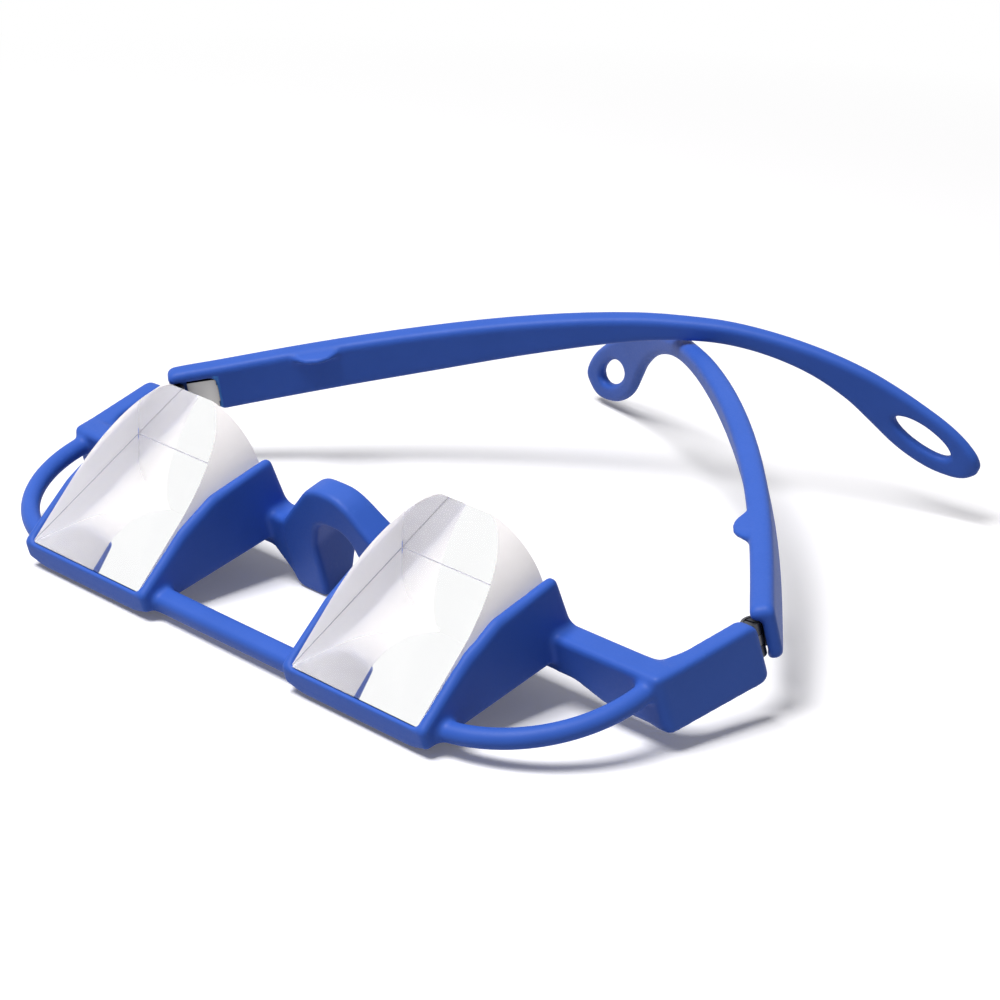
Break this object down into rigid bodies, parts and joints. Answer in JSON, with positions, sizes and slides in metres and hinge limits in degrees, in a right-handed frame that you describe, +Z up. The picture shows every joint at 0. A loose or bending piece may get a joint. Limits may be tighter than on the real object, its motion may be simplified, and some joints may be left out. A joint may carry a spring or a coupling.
{
  "type": "belay glasses",
  "caption": "Prism belay glasses with two silvered glass prisms in a moulded blue frame, curved guard bars, a nose saddle and folding temples that end in cord eyes.",
  "frame": {"origin": "middle of the footprint, on the surface that the folded glasses lie on", "axes": "+X to the wearer's left, +Y from the prisms back to the temple tips, +Z up from that surface"},
  "size_m": [0.1388, 0.1348, 0.032],
  "materials": {
    "frame_plastic": "soft-touch moulded nylon, satin blue",
    "prism_glass": "clear ground and polished optical glass",
    "silver_coating": "vapour silver under the base of each prism",
    "glue": "cured glue pad",
    "hinge_steel": "pressed and brushed nickel silver"
  },
  "bodies": {
    "front": {"front_frame": "frame_plastic", "right_prism": "prism_glass", "left_prism": "prism_glass", "right_silvering": "silver_coating", "left_silvering": "silver_coating", "right_glue_pad": "glue", "left_glue_pad": "glue", "right_front_hinge": "hinge_steel", "left_front_hinge": "hinge_steel", "right_hinge_screw": "hinge_steel", "left_hinge_screw": "hinge_steel"},
    "right_arm": {"right_temple": "frame_plastic", "right_temple_hinge": "hinge_steel"},
    "left_arm": {"left_temple": "frame_plastic", "left_temple_hinge": "hinge_steel"}
  },
  "joints": [
    {"name": "right_temple_fold", "type": "hinge", "parent": "front", "child": "right_arm", "pos_m": [-0.06499, -0.02068, 0.01522], "axis": [0.0941, -0.2819, 0.9548], "range_deg": [0, 44.8]},
    {"name": "left_temple_fold", "type": "hinge", "parent": "front", "child": "left_arm", "pos_m": [0.06499, -0.02068, 0.01522], "axis": [0.0941, 0.2819, -0.9548], "range_deg": [0, 38.1]}
  ],
  "couplings": [
    {"joint": "left_temple_fold", "follows": "right_temple_fold", "ratio": 0.85}
  ]
}
